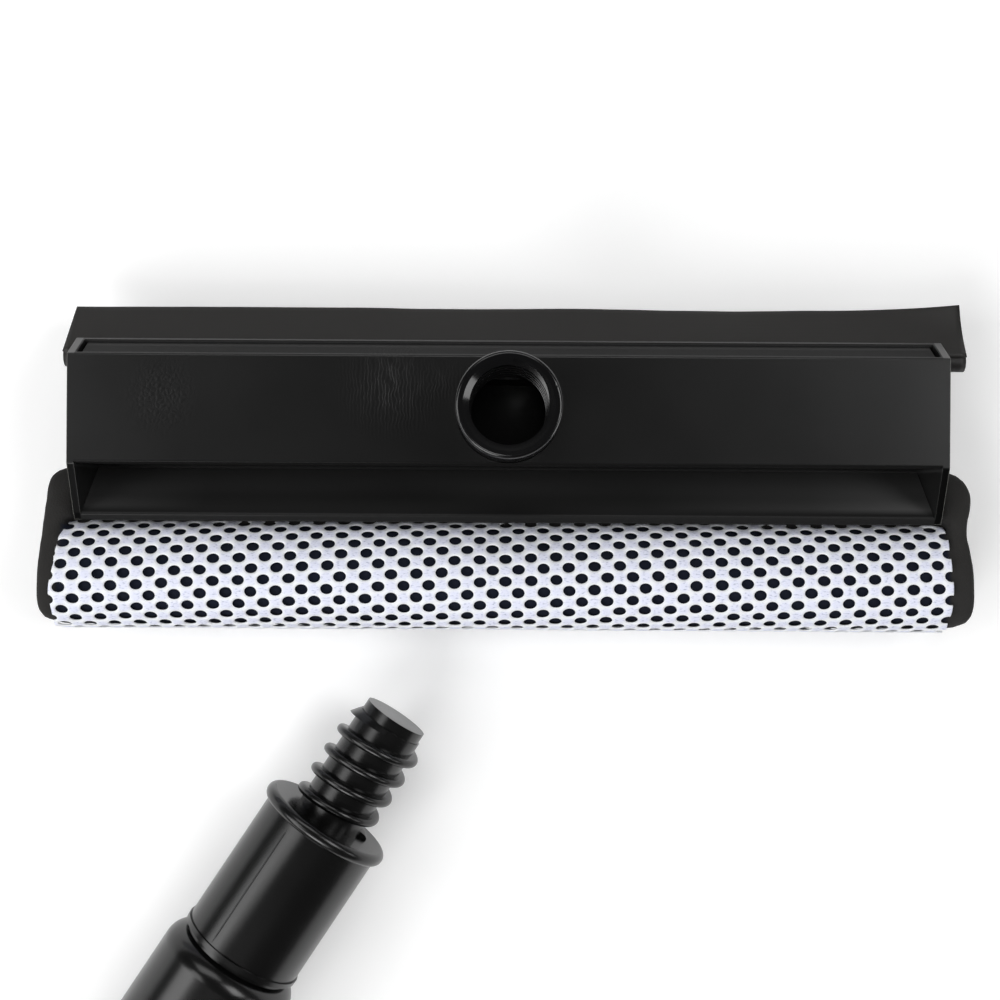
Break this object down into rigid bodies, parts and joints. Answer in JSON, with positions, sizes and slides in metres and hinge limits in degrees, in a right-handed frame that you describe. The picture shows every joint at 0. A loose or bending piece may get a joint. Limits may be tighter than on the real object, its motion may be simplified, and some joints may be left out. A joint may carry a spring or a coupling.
{
  "type": "window scrubber",
  "caption": "Window scrubber head with a rubber squeegee lip, a net-covered sponge and a threaded pole socket, beside its detached telescopic pole.",
  "frame": {"origin": "on the pole socket's axis, where its threaded wall begins just inside the mouth", "axes": "+X along the squeegee rubber, +Y from the sponge towards the rubber, +Z out of the pole socket and up from the table both pieces lie on"},
  "size_m": [0.3719, 0.4613, 0.0465],
  "materials": {
    "frame_plastic": "matte black moulded plastic with a faint grain",
    "socket_plastic": "glossy black moulded plastic",
    "screw_steel": "zinc-plated self-tapping screws",
    "cover_plastic": "matte black moulded plastic",
    "blade_rubber": "soft black extruded rubber",
    "board_plastic": "dark stiff plastic strip",
    "black_foam": "fine-celled black sponge foam",
    "white_mesh": "white knitted net with oval holes",
    "tip_plastic": "glossy black moulded nylon",
    "rivet_steel": "aluminium blind rivet",
    "tube_aluminium": "satin drawn aluminium",
    "bush_plastic": "dark grey plain bearing plastic",
    "nut_plastic": "glossy black moulded nylon",
    "collet_plastic": "dark grey acetal split ring",
    "ferrule_plastic": "satin black moulded nylon",
    "coated_tube": "black powder-coated aluminium",
    "grip_rubber": "black ringed rubber sleeve",
    "cap_plastic": "glossy black moulded plastic"
  },
  "bodies": {
    "head": {"head_frame": "frame_plastic", "pole_socket": "socket_plastic", "socket_screws": "screw_steel", "back_cover": "cover_plastic", "cover_screws": "screw_steel", "pad_board": "board_plastic", "scrub_foam": "black_foam", "mesh_cover": "white_mesh"},
    "rubber": {"squeegee_rubber": "blade_rubber"},
    "pole_inner": {"threaded_tip": "tip_plastic", "tip_rivet": "rivet_steel", "inner_tube": "tube_aluminium", "guide_bush": "bush_plastic"},
    "pole_outer": {"outer_tube": "coated_tube", "lock_ferrule": "ferrule_plastic", "collet": "collet_plastic", "ferrule_rivets": "rivet_steel", "grip": "grip_rubber", "end_cap": "cap_plastic"},
    "nut": {"lock_nut": "nut_plastic"}
  },
  "joints": [
    {"name": "rubber_slide", "type": "slide", "parent": "head", "child": "rubber", "axis": [1, 0, 0], "range_m": [0, 0.2]},
    {"name": "pole_lift", "type": "slide", "parent": "head", "child": "pole_inner", "axis": [0, 0, 1], "range_m": [0, 0.12]},
    {"name": "pole_extend", "type": "slide", "parent": "pole_inner", "child": "pole_outer", "axis": [-0.5505, -0.8348, 0], "range_m": [0, 0.25]},
    {"name": "nut_turn", "type": "hinge", "parent": "pole_outer", "child": "nut", "pos_m": [-0.06694, -0.13142, -0.0298], "axis": [-0.5505, -0.8348, 0], "range_deg": [0, 120]}
  ]
}
